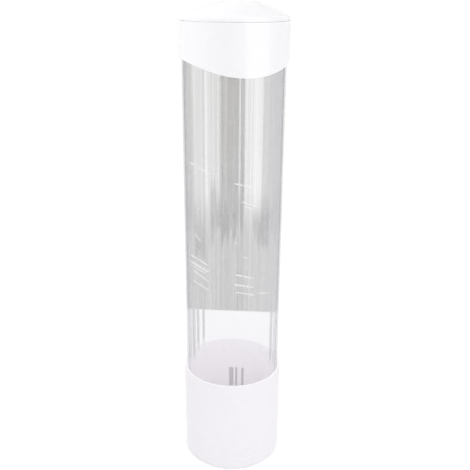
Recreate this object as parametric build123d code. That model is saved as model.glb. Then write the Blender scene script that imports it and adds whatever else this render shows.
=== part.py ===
from build123d import *
import math
import os

# A cup dispenser: a clear tube of cups stands in a white base, under a white cap.
# Millimetres, +Z up, the front towards -Y. The origin is under the middle of the part's box,
# on the surface that it stands on. Each piece is built about the tube's own upright axis.

# Tube
tube_radius = 40.95
tube_wall = 1.2
tube_length = 343.5
tube_rib_count = 60
tube_rib_height = 0.5
tube_rib_width = 1.5

# Base shell, the socket that the tube stands in
socket_clearance = 0.2
shell_wall = 1.95
shell_height = 74.5
shell_rim_round = 0.7
shell_lead_in = 0.6
ledge_thickness = 2.0
ledge_width = 1.65
parting_chamfer = 0.25

# Outlet ring, the lowest piece of the base, and the passage for the cups
passage_step = 4.65
outlet_height = 12.0
outlet_foot_round = 3.0
outlet_lead_out = 0.6
spigot_height = 4.0
spigot_clearance = 0.15

# Carrier, the ring that holds the four pawls
carrier_height = 12.0
pocket_web = 0.8
pocket_floor = 1.5
pocket_width = 14.6

# Pawls: each is a short lever on a pin, with a nose that holds up the rim of the lowest cup
pawl_names = ("right", "rear", "left", "front")
pawl_width = 9.0
pawl_reach = 5.0
pawl_hub_radius = 1.35
nose_top = 0.9
nose_underside = 0.6
nose_tip_slope = 0.9
nose_tip_round = 0.35
tail_height = 1.9
tail_outside = 1.3
tail_thickness = 1.3
pivot_inset = 2.6
pivot_share_of_carrier = 0.625

# Pawl pins
pin_radius = 0.6
pin_length = 20.0
pin_running_clearance = 0.05
pin_hole_clearance = 0.02

# Pawl springs, one torsion spring on each pin
spring_wire = 0.25
spring_coil_radius = 0.95
spring_pitch = 0.4
spring_turns = 2.875
spring_notch_width = 2.8
spring_notch_clearance = 0.6
spring_long_leg = 3.4
spring_short_leg = 2.9

# Screws that hold the outlet ring to the carrier
ring_screw_inset = 2.0
ring_screw_count = 4
ring_screw_length = 18.0
ring_screw_pocket_depth = 3.0
screw_shank_radius = 0.95
screw_thread_clearance = 0.02
screw_hole_clearance = 0.2
screw_head_radius = 1.6
screw_head_height = 1.1
screw_head_clearance = 0.2
screw_tip_clearance = 0.6
screw_recess_width = 0.5
screw_recess_depth = 0.6

# Mounting pad on the back of the base shell, with its magnet
pad_width = 40.0
pad_depth = 3.2
pad_bottom_rise = 2.0
pad_height = 68.0
pad_corner_round = 2.0
magnet_width = 21.6
magnet_height = 29.0
magnet_thickness = 3.8
magnet_clearance = 0.2
magnet_rise = 15.5

# Window in the wall in front of the magnet: three upright slots above a low one
window_rise = 3.0
window_height = 22.0
window_width = 14.5
window_slot_width_shares = (0.310, 0.145, 0.172)
window_slot_start_shares = (0.0, 0.427, 0.828)
sill_slot_rise = 0.6
sill_slot_height = 1.9
sill_slot_width = 17.7

# Back plate over the magnet, with two keyholes for wall screws
plate_thickness = 2.0
plate_inset = 1.0
plate_corner_round = 3.0
keyhole_spacing = 48.0
keyhole_entry_radius = 3.8
keyhole_slot_radius = 1.9
keyhole_rise = 5.5
keyhole_lowest = 10.4
keyhole_pocket_depth = 3.4
keyhole_pocket_clearance = 0.3
plate_screw_spacing_x = 31.0
plate_screw_spacing_z = 31.0
plate_screw_length = 6.4
plate_screw_middle_share = 0.47

# Collar of the cap, which turns on the tube
collar_wall = 2.15
collar_swivel_clearance = 0.3
collar_drop = 39.08
collar_arc_radius = 88.5
collar_edge_round = 0.2
collar_arch_round = 0.6
collar_shoulder_thickness = 2.0
collar_shoulder_width = 1.65
collar_grip_count = 6
collar_grip_width = 1.4
collar_grip_length = 16.0
collar_grip_clearance = 0.1
cap_turn_degrees = 20.5

# Lid of the cap, which lifts off the collar
lid_inset = 0.4
lid_gap = 0.12
lid_foot_round = 0.15
lid_band_height = 2.8
lid_band_round = 0.45
lid_band_step = 0.2
lid_dome_height = 12.0
lid_dome_lean = 16.2
lid_dome_radius_shares = (1.0, 0.85, 0.7, 0.55, 0.4, 0.25, 0.11)
lid_dome_height_shares = (0.0, 0.222, 0.447, 0.655, 0.81, 0.93, 0.985)
lid_wall = 1.8
lid_rim_wall = 3.2
lid_skirt_depth = 8.0
lid_skirt_wall = 1.6
lid_skirt_clearance = 0.3
lid_skirt_end_gap = 0.5
lid_key_width = 3.0
lid_key_depth = 0.8

# Extra length of each cutting shape past the face that it opens
overrun = 1.0

# Radii that follow from the sizes above
tube_bore = tube_radius - tube_wall
socket_radius = tube_radius + socket_clearance
shell_radius = socket_radius + shell_wall
spigot_radius = socket_radius - spigot_clearance
passage_radius = socket_radius - passage_step
ring_screw_circle = spigot_radius - ring_screw_inset
collar_bore = tube_radius + collar_swivel_clearance
collar_radius = collar_bore + collar_wall
lid_radius = collar_radius - lid_inset
skirt_radius = collar_bore - lid_skirt_clearance
skirt_bore = skirt_radius - lid_skirt_wall
pocket_radius = spigot_radius - pocket_web
pivot_radius = spigot_radius - pivot_inset

# Heights that follow from the sizes above
spigot_top = outlet_height + spigot_height
carrier_top = spigot_top + carrier_height
ledge_top = carrier_top + ledge_thickness
shell_top = outlet_height + shell_height
tube_top = ledge_top + tube_length
shoulder_bottom = tube_top + collar_swivel_clearance
shoulder_top = shoulder_bottom + collar_shoulder_thickness
skirt_bottom = shoulder_top + lid_skirt_end_gap
seam_height = skirt_bottom + lid_skirt_depth - lid_gap
collar_bottom = seam_height - collar_drop
lid_bottom = seam_height + lid_gap
dome_bottom = lid_bottom + lid_band_height
pivot_height = spigot_top + carrier_height * pivot_share_of_carrier

# Places of the mounting pad and of what it holds
pad_bottom = outlet_height + pad_bottom_rise
pad_top = pad_bottom + pad_height
pad_back = shell_radius + pad_depth
plate_back = pad_back + plate_thickness
magnet_bottom = pad_bottom + magnet_rise
magnet_front = pad_back - magnet_thickness
window_bottom = ledge_top + window_rise
plate_screw_middle = pad_bottom + pad_height * plate_screw_middle_share

# The tube's axis lies in front of the origin by half of what the back plate stands out more
axis_y = (collar_radius - plate_back) / 2


def ring(inner, outer, bottom, top):
    """A plain ring about the upright axis."""
    return Pos(0, 0, bottom) * extrude(Circle(outer) - Circle(inner), top - bottom)


def disc(radius, bottom, top):
    """A plain upright cylinder about the axis."""
    return Pos(0, 0, bottom) * extrude(Circle(radius), top - bottom)


def block(x_low, x_high, y_low, y_high, z_low, z_high):
    """A block between three pairs of limits."""
    middle = Pos((x_low + x_high) / 2, (y_low + y_high) / 2, (z_low + z_high) / 2)
    return middle * Box(x_high - x_low, y_high - y_low, z_high - z_low)


def edges_at(shape, height, radius):
    """The round edges of a shape at one height and about one radius."""
    found = ShapeList()
    slack = parting_chamfer / 5
    for edge in shape.edges().filter_by(GeomType.CIRCLE):
        centre = edge.arc_center
        level = abs(centre.Z - height) < slack
        on_axis = math.hypot(centre.X, centre.Y) < slack
        if level and on_axis and abs(edge.radius - radius) < slack:
            found.append(edge)
    return found


def make_tube():
    """The clear tube, with its fine upright ribs on the inside."""
    pitch = 360 / tube_rib_count
    half = math.degrees(math.asin(tube_rib_width / 2 / tube_bore))
    edges = []
    for index in range(tube_rib_count):
        middle = index * pitch
        foot = Vector(tube_bore, 0).rotate(Axis.Z, middle - half)
        tip = Vector(tube_bore - tube_rib_height, 0).rotate(Axis.Z, middle)
        other_foot = Vector(tube_bore, 0).rotate(Axis.Z, middle + half)
        edges.append(Line(foot, tip))
        edges.append(Line(tip, other_foot))
        edges.append(CenterArc((0, 0), tube_bore, middle + half, pitch - 2 * half))
    bore = make_face(edges)
    section = Circle(tube_radius) - bore
    return Pos(0, 0, ledge_top) * extrude(section, tube_length)


def keyhole(depth_low, depth_high, entry_radius, slot_radius, lowest):
    """The space of one keyhole, between two distances behind the axis."""
    rise = Pos(0, lowest + keyhole_rise / 2) * Rectangle(2 * slot_radius, keyhole_rise)
    shape = Pos(0, lowest) * Circle(entry_radius) + rise
    shape += Pos(0, lowest + keyhole_rise) * Circle(slot_radius)
    return Pos(0, depth_high, 0) * Rot(90, 0, 0) * extrude(shape, depth_high - depth_low)


def keyhole_places():
    """The heights of the two keyholes' entries."""
    lower = pad_bottom + keyhole_lowest - keyhole_rise
    return (lower, lower + keyhole_spacing)


def plate_screw_places():
    """The sideways places and heights of the back plate's four screws."""
    places = []
    for side in (-1, 1):
        for level in (-1, 1):
            across = side * plate_screw_spacing_x / 2
            places.append((across, plate_screw_middle + level * plate_screw_spacing_z / 2))
    return places


def backward_cylinder(radius, x, z, y_low, y_high):
    """A cylinder that lies along Y between two distances behind the axis."""
    return Pos(x, y_high, z) * Rot(90, 0, 0) * extrude(Circle(radius), y_high - y_low)


def window_cutter():
    """Three upright slots over a low wide one, in front of the magnet."""
    front = pivot_radius
    slots = []
    for start, width in zip(window_slot_start_shares, window_slot_width_shares):
        left = -window_width / 2 + window_width * start
        right = left + window_width * width
        top = window_bottom + window_height
        slots.append(block(left, right, front, magnet_front + overrun, window_bottom, top))
    sill_bottom = ledge_top + sill_slot_rise
    sill_top = sill_bottom + sill_slot_height
    half = sill_slot_width / 2
    slots.append(block(-half, half, front, magnet_front + overrun, sill_bottom, sill_top))
    return slots


def make_base_shell():
    """The round socket, its ledge for the tube and its mounting pad behind."""
    shell = disc(shell_radius, outlet_height, shell_top)
    half = pad_width / 2
    pad = block(-half, half, 0, pad_back, pad_bottom, pad_top)
    back_corners = pad.edges().filter_by(Axis.Z).group_by(Axis.Y)[-1]
    shell += fillet(back_corners, pad_corner_round)
    shell -= disc(socket_radius, outlet_height - overrun, carrier_top)
    shell -= disc(socket_radius - ledge_width, outlet_height, shell_top)
    shell -= disc(socket_radius, ledge_top, shell_top + overrun)
    shell = fillet(edges_at(shell, shell_top, shell_radius), shell_rim_round)
    shell = chamfer(edges_at(shell, shell_top, socket_radius), shell_lead_in)
    shell = chamfer(edges_at(shell, outlet_height, shell_radius), parting_chamfer)

    pocket_half = magnet_width / 2 + magnet_clearance
    pocket_low = magnet_bottom - magnet_clearance
    pocket_high = magnet_bottom + magnet_height + magnet_clearance
    pocket_back = pad_back + overrun
    shell -= block(-pocket_half, pocket_half, magnet_front, pocket_back, pocket_low, pocket_high)
    for slot in window_cutter():
        shell -= slot
    entry = keyhole_entry_radius + keyhole_pocket_clearance
    for lowest in keyhole_places():
        shell -= keyhole(pad_back - keyhole_pocket_depth, pocket_back, entry, entry, lowest)
    hole_depth = plate_screw_length - plate_thickness + screw_tip_clearance + screw_head_height
    for across, height in plate_screw_places():
        radius = screw_shank_radius + screw_thread_clearance
        shell -= backward_cylinder(radius, across, height, pad_back - hole_depth, pocket_back)
    return shell


def make_back_plate():
    """The plate that closes the magnet's pocket, with its keyholes and screw holes."""
    low = pad_bottom + plate_inset
    high = pad_top - plate_inset
    half = pad_width / 2 - plate_inset
    plate = block(-half, half, pad_back, plate_back, low, high)
    plate = fillet(plate.edges().filter_by(Axis.Y), plate_corner_round)
    front = pad_back - overrun
    back = plate_back + overrun
    for lowest in keyhole_places():
        plate -= keyhole(front, back, keyhole_entry_radius, keyhole_slot_radius, lowest)
    for across, height in plate_screw_places():
        hole = screw_shank_radius + screw_hole_clearance
        plate -= backward_cylinder(hole, across, height, front, back)
        sunk = plate_back - screw_head_height - screw_head_clearance
        seat = screw_head_radius + screw_head_clearance
        plate -= backward_cylinder(seat, across, height, sunk, back)
    return plate


def make_magnet():
    """The block magnet in the mounting pad."""
    half = magnet_width / 2
    top = magnet_bottom + magnet_height
    magnet = block(-half, half, magnet_front, pad_back, magnet_bottom, top)
    return chamfer(magnet.edges(), magnet_clearance)


def make_screw(length):
    """One pan-head screw that points up, its head's underside at the origin's level."""
    recess_half = screw_recess_width / 2
    reach = screw_head_radius / 2
    head = disc(screw_head_radius, -screw_head_height, 0)
    head = chamfer(edges_at(head, -screw_head_height, screw_head_radius), screw_head_height / 4)
    low = -screw_head_height - overrun
    high = -screw_head_height + screw_recess_depth
    head -= block(-reach, reach, -recess_half, recess_half, low, high)
    head -= block(-recess_half, recess_half, -reach, reach, low, high)
    shank = disc(screw_shank_radius, 0, length)
    shank = chamfer(edges_at(shank, length, screw_shank_radius), screw_shank_radius / 2)
    return head + shank


def make_ring_screws():
    """The screws that come up through the outlet ring into the carrier."""
    seat = ring_screw_pocket_depth
    screws = []
    for index in range(ring_screw_count):
        turn = Rot(0, 0, (index + 0.5) * 360 / ring_screw_count)
        screws.append(turn * Pos(ring_screw_circle, 0, seat) * make_screw(ring_screw_length))
    return Compound(screws)


def make_plate_screws():
    """The screws that hold the back plate to the mounting pad."""
    seat = plate_back - screw_head_height - screw_head_clearance
    screws = []
    for across, height in plate_screw_places():
        screws.append(Pos(across, seat, height) * Rot(90, 0, 0) * make_screw(plate_screw_length))
    return Compound(screws)


def ring_screw_holes(shape, radius, bottom, top):
    """Cut one hole at each of the outlet ring's screws."""
    for index in range(ring_screw_count):
        turn = Rot(0, 0, (index + 0.5) * 360 / ring_screw_count)
        shape -= turn * Pos(ring_screw_circle, 0, 0) * disc(radius, bottom, top)
    return shape


def make_outlet_ring():
    """The lowest ring, with the passage, its register into the shell and the screw holes."""
    outlet = disc(shell_radius, 0, outlet_height)
    outlet = fillet(edges_at(outlet, 0, shell_radius), outlet_foot_round)
    outlet = chamfer(edges_at(outlet, outlet_height, shell_radius), parting_chamfer)
    outlet += disc(spigot_radius, outlet_height, spigot_top)
    outlet -= disc(passage_radius, -overrun, spigot_top + overrun)
    outlet = chamfer(edges_at(outlet, 0, passage_radius), outlet_lead_out)
    hole = screw_shank_radius + screw_hole_clearance
    outlet = ring_screw_holes(outlet, hole, -overrun, spigot_top + overrun)
    pocket = screw_head_radius + screw_head_clearance
    return ring_screw_holes(outlet, pocket, -overrun, ring_screw_pocket_depth)


def make_carrier():
    """The ring inside the base, with one open pocket and one pin hole for each pawl."""
    carrier = ring(passage_radius, spigot_radius, spigot_top, carrier_top)
    carrier = chamfer(edges_at(carrier, carrier_top, passage_radius), outlet_lead_out)
    half = pocket_width / 2
    floor = spigot_top + pocket_floor
    opening = block(0, spigot_radius, -half, half, floor, carrier_top + overrun)
    opening &= disc(pocket_radius, floor, carrier_top + overrun)
    hole = Circle(pin_radius + pin_hole_clearance)
    near_end = -pin_length / 2
    far_end = math.sqrt(spigot_radius**2 - pivot_radius**2) + overrun
    pin_hole = Rot(-90, 0, 0) * extrude(hole, far_end - near_end)
    pin_hole = Pos(pivot_radius, near_end, pivot_height) * pin_hole
    for index in range(len(pawl_names)):
        turn = Rot(0, 0, index * 360 / len(pawl_names))
        carrier -= turn * opening
        carrier -= turn * pin_hole
    pilot = screw_shank_radius + screw_thread_clearance
    pilot_top = ring_screw_pocket_depth + ring_screw_length + screw_tip_clearance
    return ring_screw_holes(carrier, pilot, spigot_top - overrun, pilot_top)


def make_pawl():
    """One pawl at the right-hand place: hub, inward nose and the tail that stops it."""
    tip_low = -pawl_reach + nose_tip_slope
    nose = Polygon(
        (0, nose_top),
        (-pawl_reach, nose_top),
        (tip_low, -nose_underside),
        (0, -nose_underside),
        align=None,
    )
    tip = nose.vertices().group_by(Axis.X)[0]
    nose = fillet(tip, nose_tip_round)
    tail_low = tail_outside - tail_thickness
    tail = Pos((tail_low + tail_outside) / 2, tail_height / 2)
    profile = Circle(pawl_hub_radius) + nose + tail * Rectangle(tail_thickness, tail_height)
    profile &= Pos(tail_outside - pawl_reach, 0) * Rectangle(2 * pawl_reach, 2 * pawl_reach)
    profile -= Circle(pin_radius + pin_running_clearance)
    pawl = Rot(90, 0, 0) * extrude(profile, pawl_width / 2, both=True)
    notch = Circle(spring_coil_radius + spring_wire / 2 + spring_notch_clearance)
    pawl -= Rot(90, 0, 0) * extrude(notch, spring_notch_width / 2, both=True)
    return Pos(pivot_radius, 0, pivot_height) * pawl


def make_pin():
    """One pawl's hinge pin at the right-hand place."""
    pin = Rot(90, 0, 0) * extrude(Circle(pin_radius), pin_length / 2, both=True)
    pin = chamfer(pin.edges().filter_by(GeomType.CIRCLE), pin_radius / 5)
    return Pos(pivot_radius, 0, pivot_height) * pin


def wire_between(start, end):
    """A straight stretch of spring wire."""
    path = Line(start, end)
    section = Plane(origin=start, z_dir=path % 0) * RegularPolygon(spring_wire / 2, 6)
    return sweep(section, path)


def make_spring():
    """One torsion spring: a coil round the pin, a leg under the nose and one on the web."""
    length = spring_turns * spring_pitch
    coil_path = Helix(spring_pitch, length, spring_coil_radius)
    coil_section = Plane(origin=coil_path @ 0, z_dir=coil_path % 0)
    coil = sweep(coil_section * RegularPolygon(spring_wire / 2, 6), coil_path, is_frenet=True)
    # The helix starts at +X about +Z, so it is laid along Y with its start under the pin
    coil = Pos(0, length / 2, 0) * Rot(90, 0, 0) * Rot(0, 0, -90) * coil
    start = Vector(0, length / 2, -spring_coil_radius)
    long_leg = wire_between(start, start + Vector(-spring_long_leg, 0, 0))
    last = math.radians(spring_turns * 360 - 90)
    reach = Vector(math.cos(last), 0, math.sin(last)) * spring_coil_radius
    end = Vector(0, -length / 2, 0) + reach
    along = Vector(-math.sin(last), 0, math.cos(last)) * spring_short_leg
    short_leg = wire_between(end, end + along)
    return Pos(pivot_radius, 0, pivot_height) * (coil + long_leg + short_leg)


def arched_edges(collar):
    """The outer edge of the collar's arched lower rim."""
    found = ShapeList()
    for edge in collar.edges().filter_by(GeomType.BSPLINE):
        middle = edge @ 0.5
        if math.hypot(middle.X, middle.Y) > collar_bore + collar_wall / 2:
            found.append(edge)
    return found


def make_collar():
    """The cap's collar, with its arched lower edge and the grips that hold it on the tube."""
    shoulder_bore = collar_bore - collar_shoulder_width
    collar = disc(collar_radius, collar_bottom, seam_height)
    collar = fillet(edges_at(collar, seam_height, collar_radius), collar_edge_round)
    collar -= disc(collar_bore, collar_bottom - overrun, shoulder_bottom)
    collar -= disc(shoulder_bore, collar_bottom, seam_height)
    collar -= disc(collar_bore, shoulder_top, seam_height + overrun)
    grip_low = shoulder_bottom - collar_grip_length
    grip_half = collar_grip_width / 2
    grip_inside = tube_radius + collar_grip_clearance
    grip_root = collar_bore + collar_wall / 2
    for index in range(collar_grip_count):
        grip = block(grip_inside, grip_root, -grip_half, grip_half, grip_low, shoulder_bottom)
        grip -= disc(grip_inside, grip_low, shoulder_bottom)
        collar += Rot(0, 0, index * 360 / collar_grip_count) * grip
    arch = extrude(Circle(collar_arc_radius), collar_radius + overrun, both=True)
    collar &= Pos(0, 0, collar_bottom + collar_arc_radius) * Rot(90, 0, 0) * arch
    collar = fillet(arched_edges(collar), collar_arch_round)
    key_half = lid_key_width / 2 + lid_skirt_clearance
    key_front = -skirt_radius - lid_key_depth - lid_skirt_clearance
    collar -= block(-key_half, key_half, key_front, 0, shoulder_top, seam_height + overrun)
    return Rot(0, 0, cap_turn_degrees) * collar


def leaning_dome(radius, height, lean):
    """A dome lofted through level circles, its top carried forward by the lean."""
    levels = []
    for across, up in zip(lid_dome_radius_shares, lid_dome_height_shares):
        levels.append(Pos(0, -lean * up, height * up) * Circle(radius * across))
    return loft(levels + [Vertex(0, -lean, height)])


def make_lid():
    """The cap's lid: a thin rim band, a leaning dome and the skirt that plugs the collar."""
    band = disc(lid_radius, lid_bottom, dome_bottom)
    band = fillet(edges_at(band, dome_bottom, lid_radius), lid_band_round)
    band = fillet(edges_at(band, lid_bottom, lid_radius), lid_foot_round)
    band += disc(skirt_radius, skirt_bottom, lid_bottom)
    band -= disc(skirt_bore, skirt_bottom - overrun, dome_bottom + overrun)
    key_half = lid_key_width / 2
    key_inside = -(skirt_radius + skirt_bore) / 2
    key_front = -skirt_radius - lid_key_depth
    band += block(-key_half, key_half, key_front, key_inside, skirt_bottom, lid_bottom)
    outside_radius = lid_radius - lid_band_round - lid_band_step
    outside = leaning_dome(outside_radius, lid_dome_height, lid_dome_lean)
    inside_height = lid_dome_height - lid_wall
    inside_lean = lid_dome_lean * inside_height / lid_dome_height
    inside = leaning_dome(lid_radius - lid_rim_wall, inside_height, inside_lean)
    lid = band + Pos(0, 0, dome_bottom) * (outside - inside)
    return Rot(0, 0, cap_turn_degrees) * lid


def all_pieces():
    """Every piece of the dispenser by its name, about the tube's axis."""
    pieces = {
        "tube": make_tube(),
        "base_shell": make_base_shell(),
        "outlet_ring": make_outlet_ring(),
        "pawl_carrier": make_carrier(),
        "collar": make_collar(),
        "lid": make_lid(),
        "magnet": make_magnet(),
        "back_plate": make_back_plate(),
        "back_plate_screws": make_plate_screws(),
        "outlet_ring_screws": make_ring_screws(),
    }
    hinge_set = {"pawl_": make_pawl(), "pawl_pin_": make_pin(), "pawl_spring_": make_spring()}
    for index, name in enumerate(pawl_names):
        turn = Rot(0, 0, index * 360 / len(pawl_names))
        for prefix, piece in hinge_set.items():
            pieces[prefix + name] = turn * piece
    return pieces


os.makedirs("parts", exist_ok=True)
for name, piece in all_pieces().items():
    export_step(Pos(0, axis_y, 0) * piece, "parts/" + name + ".step")
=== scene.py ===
"""The looks of a cup dispenser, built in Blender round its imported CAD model.

Everything is in metres, +Z up, the front towards -Y, in the CAD model's own frame. Azimuths are in degrees
to the right of the front, about the tube's axis. The tube, the springs and the screws are finer meshes in
the place of their CAD solids. Every other CAD solid stays and gets its finish here.
"""

import logging
import math
from dataclasses import dataclass
from enum import Enum
from functools import reduce
from typing import Callable, Sequence

import bpy
from mathutils import Matrix, Vector


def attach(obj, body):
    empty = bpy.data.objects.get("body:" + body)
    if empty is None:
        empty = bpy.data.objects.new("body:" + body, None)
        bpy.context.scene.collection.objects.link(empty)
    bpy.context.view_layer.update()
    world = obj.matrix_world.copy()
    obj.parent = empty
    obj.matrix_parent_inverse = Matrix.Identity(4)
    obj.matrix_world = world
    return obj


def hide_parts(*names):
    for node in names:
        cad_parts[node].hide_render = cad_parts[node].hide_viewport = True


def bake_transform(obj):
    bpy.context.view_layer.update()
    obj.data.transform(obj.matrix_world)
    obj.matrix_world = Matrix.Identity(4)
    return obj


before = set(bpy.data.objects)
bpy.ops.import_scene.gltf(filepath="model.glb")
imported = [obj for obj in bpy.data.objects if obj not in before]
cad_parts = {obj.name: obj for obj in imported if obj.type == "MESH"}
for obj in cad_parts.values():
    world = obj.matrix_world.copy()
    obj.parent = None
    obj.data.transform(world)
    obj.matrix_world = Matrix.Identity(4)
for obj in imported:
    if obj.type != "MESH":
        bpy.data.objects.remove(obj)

log = logging.getLogger("cup_dispenser")

Colour = tuple[float, float, float]
Face = tuple[int, ...]
Output = bpy.types.NodeSocket
Given = Callable[[str], Output]
Values = dict[str, object]

# The tube's upright axis, in front of the model's origin
AXIS_Y = -0.00245
TO_AXIS = Matrix.Translation((0, AXIS_Y, 0))

# The ribs inside the tube, and the radius at which its patterns are unrolled
RIB_COUNT = 60
UNROLLED_RADIUS = 0.041


class Body(Enum):
    """The CAD bodies that new pieces ride on."""

    DISPENSER = "dispenser"


class Slot(Enum):
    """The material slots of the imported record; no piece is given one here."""

    CLEAR_TUBE = "clear_tube"
    ZINC_STEEL = "zinc_steel"
    SPRING_STEEL = "spring_steel"


class Side(Enum):
    """The four places round the passage, with their angle from +X in degrees."""

    RIGHT = ("right", 0.0)
    REAR = ("rear", 90.0)
    LEFT = ("left", 180.0)
    FRONT = ("front", 270.0)

    @property
    def word(self) -> str:
        """The side's name as the CAD nodes carry it."""
        return self.value[0]

    @property
    def place(self) -> Matrix:
        """What brings a piece from the right-hand place, about the tube's axis, to this one."""
        return TO_AXIS @ Matrix.Rotation(math.radians(self.value[1]), 4, "Z")


class SocketKind(Enum):
    """The kinds of socket that the shared effects use."""

    VALUE = "NodeSocketFloat"
    VECTOR = "NodeSocketVector"


class Graph:
    """A node tree, with short ways to add nodes and join them.

    A value is another node's output, which is linked, or a plain number, tuple or colour, which is set.
    """

    def __init__(self, tree: bpy.types.NodeTree) -> None:
        """Wrap the tree of a material, a world or a node group."""
        self.tree = tree

    def feed(self, target: Output, value: object) -> None:
        """Give one input its value, and leave it alone where the value is None.

        Args:
            target: The input.
            value: Its value.
        """
        if isinstance(value, Output):
            self.tree.links.new(value, target)
        elif value is not None:
            target.default_value = value

    def fill(self, node: bpy.types.Node, values: dict[int | str, object]) -> bpy.types.Node:
        """Give several inputs of a node their values.

        Args:
            node: The node.
            values: The values by the inputs' names or places.

        Returns:
            The same node.
        """
        for name, value in values.items():
            self.feed(node.inputs[name], value)
        return node

    def add(self, kind: str, *values: object, **settings: object) -> bpy.types.Node:
        """Add one node.

        Args:
            kind: Blender's name of the node type.
            values: The values of its first inputs, in their order.
            settings: Properties of the node and what they are set to.

        Returns:
            The new node.
        """
        node = self.tree.nodes.new(kind)
        for name, value in settings.items():
            setattr(node, name, value)
        return self.fill(node, dict(enumerate(values)))

    def maths(self, operation: str, *values: object, clamp: bool = False) -> Output:
        """Calculate with one Math node, whose result clamp holds between 0 and 1."""
        return self.add("ShaderNodeMath", *values, operation=operation, use_clamp=clamp).outputs[0]

    def plus(self, first: object, second: object) -> Output:
        """Add two values."""
        return self.maths("ADD", first, second)

    def minus(self, first: object, second: object) -> Output:
        """Take the second value from the first."""
        return self.maths("SUBTRACT", first, second)

    def times(self, *values: object) -> Output:
        """Multiply values."""
        return reduce(lambda first, second: self.maths("MULTIPLY", first, second), values)

    def times_plus(self, value: object, factor: object, added: object) -> Output:
        """Multiply a value by a factor and add another."""
        return self.maths("MULTIPLY_ADD", value, factor, added)

    def most(self, *values: object) -> Output:
        """Take the largest of some values."""
        return reduce(lambda first, second: self.maths("MAXIMUM", first, second), values)

    def gap(self, first: object, second: object) -> Output:
        """Find how far two values are apart."""
        return self.maths("ABSOLUTE", self.minus(first, second))

    def remap(
        self, value: object, low: object, high: object, to_low: object = 0.0, to_high: object = 1.0
    ) -> Output:
        """Map a value from one range to another, eased and held at both ends.

        Args:
            value: The value to map.
            low: Where the range starts.
            high: Where it ends.
            to_low: The result at the start.
            to_high: The result at the end.

        Returns:
            The mapped value.
        """
        ranges = (value, low, high, to_low, to_high)
        node = self.add("ShaderNodeMapRange", *ranges, clamp=True, interpolation_type="SMOOTHSTEP")
        return node.outputs[0]

    def fall(self, value: object, low: object, high: object) -> Output:
        """Fall from 1 to 0 over a range."""
        return self.remap(value, low, high, 1.0, 0.0)

    def blend(self, share: object, first: object, second: object) -> Output:
        """Mix two values, from the first at share 0 to the second at share 1."""
        node = self.add("ShaderNodeMix", data_type="FLOAT")
        return self.fill(node, {0: share, 2: first, 3: second}).outputs[0]

    def mix(self, share: object, first: object, second: object) -> Output:
        """Mix two colours.

        Args:
            share: How much of the second colour shows.
            first: The colour at share 0, as an output or in red, green and blue.
            second: The colour at share 1.

        Returns:
            The mixed colour.
        """
        first, second = ((*part, 1.0) if isinstance(part, tuple) else part for part in (first, second))
        node = self.add("ShaderNodeMix", data_type="RGBA")
        return self.fill(node, {0: share, 6: first, 7: second}).outputs[2]

    def stretched(self, vector: object, by: Sequence[float]) -> Output:
        """Scale coordinates by a different amount on each axis."""
        return self.add("ShaderNodeVectorMath", vector, by, operation="MULTIPLY").outputs[0]

    def noise(self, place: object, scale: object, detail: float = 2.0, roughness: float = 0.5) -> Output:
        """Read a soft noise.

        Args:
            place: The coordinates.
            scale: Its scale.
            detail: How many finer layers it has.
            roughness: How strong the finer layers are.

        Returns:
            A value round 0.5.
        """
        values = {"Vector": place, "Scale": scale, "Detail": detail, "Roughness": roughness}
        return self.fill(self.add("ShaderNodeTexNoise"), values).outputs[0]

    def cells(self, place: object, scale: object) -> bpy.types.NodeOutputs:
        """Read a cell pattern's Distance and Color, with so many cells in a unit."""
        return self.fill(self.add("ShaderNodeTexVoronoi"), {"Vector": place, "Scale": scale}).outputs

    def parts(self, vector: object) -> bpy.types.NodeOutputs:
        """Take a vector apart into X, Y and Z."""
        return self.add("ShaderNodeSeparateXYZ", vector).outputs

    def place(self) -> Output:
        """The point's own place in the model's frame, which moves with its piece."""
        return self.add("ShaderNodeTexCoord").outputs["Object"]

    def relief(self, height: object, depth: float, under: object = None) -> Output:
        """Turn heights into a bumped normal.

        Args:
            height: The heights, from 0 to 1.
            depth: How deep a height of 1 is.
            under: A bumped normal that this one is laid over.

        Returns:
            The normal.
        """
        values = {"Distance": depth, "Height": height, "Normal": under}
        return self.fill(self.add("ShaderNodeBump"), values).outputs[0]


class Effect:
    """An effect that several finishes use: a shader node group that is built once.

    Attributes:
        title: The group's name.
        takes: Its inputs, each with its kind, or with its usual value where it has one.
        gives: Its outputs, each with its kind.
    """

    title: str = ""
    takes: dict[str, SocketKind | float] = {}
    gives: dict[str, SocketKind] = {}

    def draw(self, graph: Graph, given: Given) -> Values:
        """Build what is inside the group.

        Args:
            graph: The group's own tree.
            given: Gives the input of a name.

        Returns:
            The result for each output's name.
        """
        raise NotImplementedError

    def group(self) -> bpy.types.NodeTree:
        """Give the node group, built the first time that it is asked for.

        Returns:
            The group.
        """
        found = bpy.data.node_groups.get(self.title)
        if found is not None:
            return found
        tree = bpy.data.node_groups.new(self.title, "ShaderNodeTree")
        for name, usual in self.takes.items():
            kind = SocketKind.VALUE if isinstance(usual, float) else usual
            made = tree.interface.new_socket(name, in_out="INPUT", socket_type=kind.value)
            if kind is not usual:
                made.default_value = usual
        for name, kind in self.gives.items():
            tree.interface.new_socket(name, in_out="OUTPUT", socket_type=kind.value)
        graph = Graph(tree)
        start = graph.add("NodeGroupInput")
        end = graph.add("NodeGroupOutput")
        graph.fill(end, self.draw(graph, lambda name: start.outputs[name]))
        return tree

    @classmethod
    def use(cls, graph: Graph, **values: object) -> bpy.types.NodeOutputs:
        """Place the effect in a tree.

        Args:
            graph: The tree of a material.
            values: The inputs, by name in lower case with underscores for spaces.

        Returns:
            The placed group's outputs.
        """
        node = graph.add("ShaderNodeGroup", node_tree=cls().group())
        named = {name.replace("_", " ").capitalize(): value for name, value in values.items()}
        return graph.fill(node, named).outputs


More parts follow.
